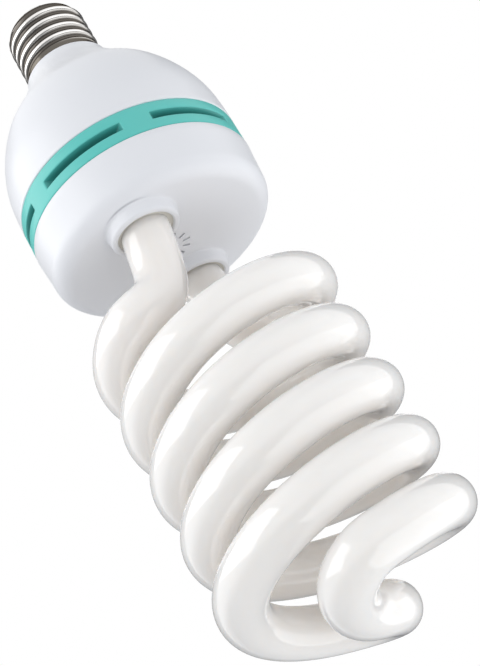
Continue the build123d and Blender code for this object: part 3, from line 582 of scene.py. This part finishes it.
def tint_by(finish, measure, stops):
    """Colours a finish along its height z or its distance r from the axis, on top of any colours it has."""
    nodes, links = finish.node_tree.nodes, finish.node_tree.links
    place = nodes.new("ShaderNodeTexCoord")
    split = nodes.new("ShaderNodeSeparateXYZ")
    links.new(place.outputs["Object"], split.inputs["Vector"])
    value = split.outputs["Z"]
    if measure == "r":
        flat = nodes.new("ShaderNodeCombineXYZ")
        links.new(split.outputs["X"], flat.inputs["X"])
        links.new(split.outputs["Y"], flat.inputs["Y"])
        length = nodes.new("ShaderNodeVectorMath")
        length.operation = "LENGTH"
        links.new(flat.outputs["Vector"], length.inputs[0])
        value = length.outputs["Value"]
    low, high = stops[0][0], stops[-1][0]
    scale = nodes.new("ShaderNodeMapRange")
    fill(scale, {"From Min": low * MM, "From Max": high * MM})
    links.new(value, scale.inputs["Value"])
    ramp = nodes.new("ShaderNodeValToRGB")
    marks = ramp.color_ramp.elements
    while len(marks) < len(stops):
        marks.new(0.5)
    for mark, (at, colour) in zip(marks, stops):
        mark.position = (at - low) / (high - low)
        mark.color = (*colour, 1)
    links.new(scale.outputs["Result"], ramp.inputs["Fac"])
    base = nodes["Principled BSDF"].inputs["Base Color"]
    result = ramp.outputs["Color"]
    if base.is_linked:
        both = nodes.new("ShaderNodeVectorMath")
        both.operation = "MULTIPLY"
        links.new(base.links[0].from_socket, both.inputs[0])
        links.new(result, both.inputs[1])
        result = both.outputs["Vector"]
    links.new(result, base)


TEAL = (0.11, 0.58, 0.525)

WHITE_PLASTIC = material(
    "white_plastic", (0.83, 0.84, 0.865), 0.4, coat=0.15, coat_roughness=0.2, grain=0.004)
TEAL_PLASTIC = material("teal_plastic", TEAL, 0.4, coat=0.1, coat_roughness=0.2, grain=0.004)
# Painted shade: the ring's plastic is coloured darker inside its slots, by distance from the axis, to stand
# for the shade that falls in them.
tint_by(TEAL_PLASTIC, "r", [
    (RING_R - 1.5, (0.045, 0.31, 0.28)),
    (RING_R - 0.35, (0.06, 0.4, 0.36)),
    (RING_R - 0.12, TEAL),
])
TUBE_GLASS = material(
    "tube_glass", (0.85, 0.84, 0.83), 0.45, coat=1.0, coat_roughness=0.03, coat_ior=1.9, depth=6.0)
# The glass is coloured darker and browner towards the housing's face, along the height.
tint_by(TUBE_GLASS, "z", [
    (FACE_Z, (0.79, 0.755, 0.705)),
    (FACE_Z + 12, (0.88, 0.845, 0.805)),
    (FACE_Z + 40, (0.93, 0.892, 0.855)),
])
NICKEL = material("nickel", (0.6, 0.6, 0.6), 0.2, metallic=1.0, grain=0.006, edge=(0.3, 0.28, 0.26))
# Painted highlight and shade: the nickel is coloured nearly white at the thread's crests and nearly black in
# its roots, by distance from the axis.
tint_by(NICKEL, "r", [
    (THREAD_ROOT_R, (0.10, 0.09, 0.08)),
    (THREAD_ROOT_R + 0.4 * THREAD_DEPTH, (0.22, 0.205, 0.19)),
    (THREAD_ROOT_R + 0.64 * THREAD_DEPTH, (0.72, 0.705, 0.68)),
    (THREAD_CREST_R, (0.95, 0.93, 0.91)),
])
# Painted shade: the plain skirt next to the bell is coloured darker, along the height.
tint_by(NICKEL, "z", [
    (SKIRT_Z - 0.4, (1, 1, 1)),
    (SKIRT_Z + 0.4, (0.42, 0.4, 0.37)),
    (NECK_Z, (0.38, 0.36, 0.33)),
])
BLACK_GLASS = material("black_glass", (0.012, 0.012, 0.015), 0.12, coat=1.0)
SOLDER = material("soft_solder", (0.55, 0.55, 0.56), 0.35, metallic=1.0, grain=0.03, grain_size=1.5)

INNER_FINISHES = {
    "cement": material("set_cement", (0.66, 0.64, 0.58), 0.8, grain=0.05),
    "board_laminate": material("paper_laminate", (0.34, 0.21, 0.08), 0.6, grain=0.01),
    "bare_wire": material("tinned_wire", (0.6, 0.6, 0.6), 0.3, metallic=1.0),
    "capacitor_sleeve": material("shrink_sleeve", (0.012, 0.025, 0.07), 0.25, coat=0.5),
    "ferrite": material("ferrite_block", (0.035, 0.035, 0.037), 0.55, grain=0.02),
    "bobbin_plastic": material("bobbin_black", (0.02, 0.02, 0.02), 0.4),
    "copper_winding": material(
        "enamelled_copper", (0.5, 0.17, 0.05), 0.28, metallic=1.0, grain=0.06, grain_size=0.3),
    "moulded_case": material("moulded_epoxy", (0.02, 0.02, 0.02), 0.5, grain=0.01),
    "film_capacitor": material("dipped_resin", (0.28, 0.03, 0.012), 0.2, coat=0.6),
    "resistor_body": material("lacquer", (0.34, 0.29, 0.16), 0.4, coat=0.3),
    "lead_jacket": material("wire_jacket", (0.5, 0.03, 0.03), 0.4),
}


# The lamp

SURFACES = [
    (make_screw_shell(), NICKEL, "nickel_plate"),
    (make_cap_insulator(), BLACK_GLASS, "cap_glass"),
    (make_centre_contact(), SOLDER, "solder"),
    (make_upper_housing(), WHITE_PLASTIC, "white_housing"),
    (make_vent_ring(), TEAL_PLASTIC, "teal_ring"),
    (make_lower_housing(), WHITE_PLASTIC, "white_housing"),
    (make_discharge_tube(), TUBE_GLASS, "phosphor_glass"),
]
for thing, finish, slot_name in SURFACES:
    thing.data.materials.append(finish)

slot_of = {part["node"]: part["material_slot"] for part in frame["record"]["subparts"]}
for node_name, node in frame["nodes"].items():
    finish = INNER_FINISHES.get(slot_of.get(node_name))
    if finish:
        node.data.materials.clear()
        node.data.materials.append(finish)


# Studio

def camera_shot():
    """The photograph's view, from beyond the coil and above its near side."""
    camera = bpy.data.cameras.new("camera")
    camera.lens = CAMERA_LENS
    camera.clip_start = 0.01
    shot = bpy.data.objects.new("camera", camera)
    shot.location = Vector(CAMERA_AT) * MM
    shot.rotation_euler = Euler([radians(a) for a in CAMERA_TURN])
    bpy.context.scene.collection.objects.link(shot)
    bpy.context.scene.camera = shot
    return shot.rotation_euler.to_matrix()


def softbox(name, axes, turn, rise, distance, width, height, radiance):
    """An area light that faces the lamp's middle and isn't seen by the camera."""
    towards = axes @ Vector((sin(radians(turn)) * cos(radians(rise)), sin(radians(rise)),
                             cos(radians(turn)) * cos(radians(rise))))
    lamp = bpy.data.lights.new(name, "AREA")
    lamp.shape = "RECTANGLE"
    lamp.size, lamp.size_y = width * MM, height * MM
    lamp.energy = radiance * pi * lamp.size * lamp.size_y
    across = axes.col[1].cross(towards).normalized()
    box = bpy.data.objects.new(name, lamp)
    facing = Matrix((across, towards.cross(across), towards)).transposed()
    box.matrix_world = Matrix.Translation((Vector(LAMP_MIDDLE) + towards * distance) * MM) @ facing.to_4x4()
    box.visible_camera = False
    bpy.context.scene.collection.objects.link(box)


def seen_white(tree, lit, white):
    """Mixes a surface or world: white to the camera, mirrors and glass, and lit to all other light."""
    nodes, links = tree.nodes, tree.links
    rays = nodes.new("ShaderNodeLightPath")
    camera_or_glossy = nodes.new("ShaderNodeMath")
    any_of_them = nodes.new("ShaderNodeMath")
    camera_or_glossy.operation = any_of_them.operation = "MAXIMUM"
    links.new(rays.outputs["Is Camera Ray"], camera_or_glossy.inputs[0])
    links.new(rays.outputs["Is Glossy Ray"], camera_or_glossy.inputs[1])
    links.new(camera_or_glossy.outputs[0], any_of_them.inputs[0])
    links.new(rays.outputs["Is Transmission Ray"], any_of_them.inputs[1])
    mix = nodes.new("ShaderNodeMixShader")
    links.new(any_of_them.outputs[0], mix.inputs["Fac"])
    links.new(lit.outputs[0], mix.inputs[1])
    links.new(white.outputs[0], mix.inputs[2])
    return mix.outputs[0]


def make_world():
    """A room that is white to the camera, and dimmer overhead in reflections."""
    world = bpy.data.worlds.new("studio")
    world.use_nodes = True
    bpy.context.scene.world = world
    tree = world.node_tree
    room = tree.nodes["Background"]
    fill(room, {"Color": (*ROOM_COLOUR, 1), "Strength": ROOM_STRENGTH})
    white = tree.nodes.new("ShaderNodeBackground")
    fill(white, {"Color": (1, 1, 1, 1)})
    direction = tree.nodes.new("ShaderNodeTexCoord")
    height = tree.nodes.new("ShaderNodeSeparateXYZ")
    ceiling = tree.nodes.new("ShaderNodeMapRange")
    fill(ceiling, {
        "From Min": CEILING_STARTS,
        "From Max": CEILING_FULL,
        "To Min": 1,
        "To Max": CEILING_IN_MIRRORS,
    })
    rays = tree.nodes.new("ShaderNodeLightPath")
    strength = tree.nodes.new("ShaderNodeMath")
    strength.operation = "MAXIMUM"
    tree.links.new(direction.outputs["Generated"], height.inputs["Vector"])
    tree.links.new(height.outputs["Z"], ceiling.inputs["Value"])
    tree.links.new(ceiling.outputs["Result"], strength.inputs[0])
    tree.links.new(rays.outputs["Is Camera Ray"], strength.inputs[1])
    tree.links.new(strength.outputs[0], white.inputs["Strength"])
    tree.links.new(seen_white(tree, room, white), tree.nodes["World Output"].inputs["Surface"])


def make_floor():
    """A wide floor that is white to the camera."""
    mesh = bpy.data.meshes.new("floor")
    corners = [Vector((x * FLOOR_REACH, y * FLOOR_REACH, FLOOR_Z)) * MM
               for x, y in ((-1, -1), (1, -1), (1, 1), (-1, 1))]
    mesh.from_pydata(corners, [], [(0, 1, 2, 3)])
    floor = bpy.data.objects.new("floor", mesh)
    bpy.context.scene.collection.objects.link(floor)
    finish = bpy.data.materials.new("floor_white")
    finish.use_nodes = True
    tree = finish.node_tree
    paint = tree.nodes["Principled BSDF"]
    fill(paint, {"Base Color": (FLOOR_SHADE, FLOOR_SHADE, FLOOR_SHADE, 1), "Roughness": 0.9})
    white = tree.nodes.new("ShaderNodeEmission")
    fill(white, {"Strength": 1})
    tree.links.new(seen_white(tree, paint, white), tree.nodes["Material Output"].inputs["Surface"])
    mesh.materials.append(finish)


def make_flag(axes):
    """A dark funnel behind the lamp, seen only in reflections: it draws the edges of white things."""
    loops = []
    for angle in np.linspace(FLAG_FROM, FLAG_TO, FLAG_ROWS):
        along, out = FLAG_DISTANCE * cos(radians(angle)), FLAG_DISTANCE * sin(radians(angle))
        loops.append([axes @ Vector((out * cos(a), out * sin(a), along)) + Vector(LAMP_MIDDLE)
                      for a in np.linspace(0, 2 * pi, FLAG_STEPS, endpoint=False)])
    points, faces = band(loops)
    mesh = bpy.data.meshes.new("flag")
    mesh.from_pydata([Vector(p) * MM for p in points], [], faces)
    flag = bpy.data.objects.new("flag", mesh)
    bpy.context.scene.collection.objects.link(flag)
    mesh.materials.append(material("flag_cloth", (FLAG_SHADE, FLAG_SHADE, FLAG_SHADE), 0.9))
    flag.visible_camera = flag.visible_diffuse = flag.visible_shadow = flag.visible_transmission = False


bpy.context.scene.view_settings.view_transform = "Standard"
make_world()
make_floor()
camera_axes = camera_shot()
make_flag(camera_axes)
for box_name, settings in SOFTBOXES.items():
    softbox(box_name, camera_axes, *settings)
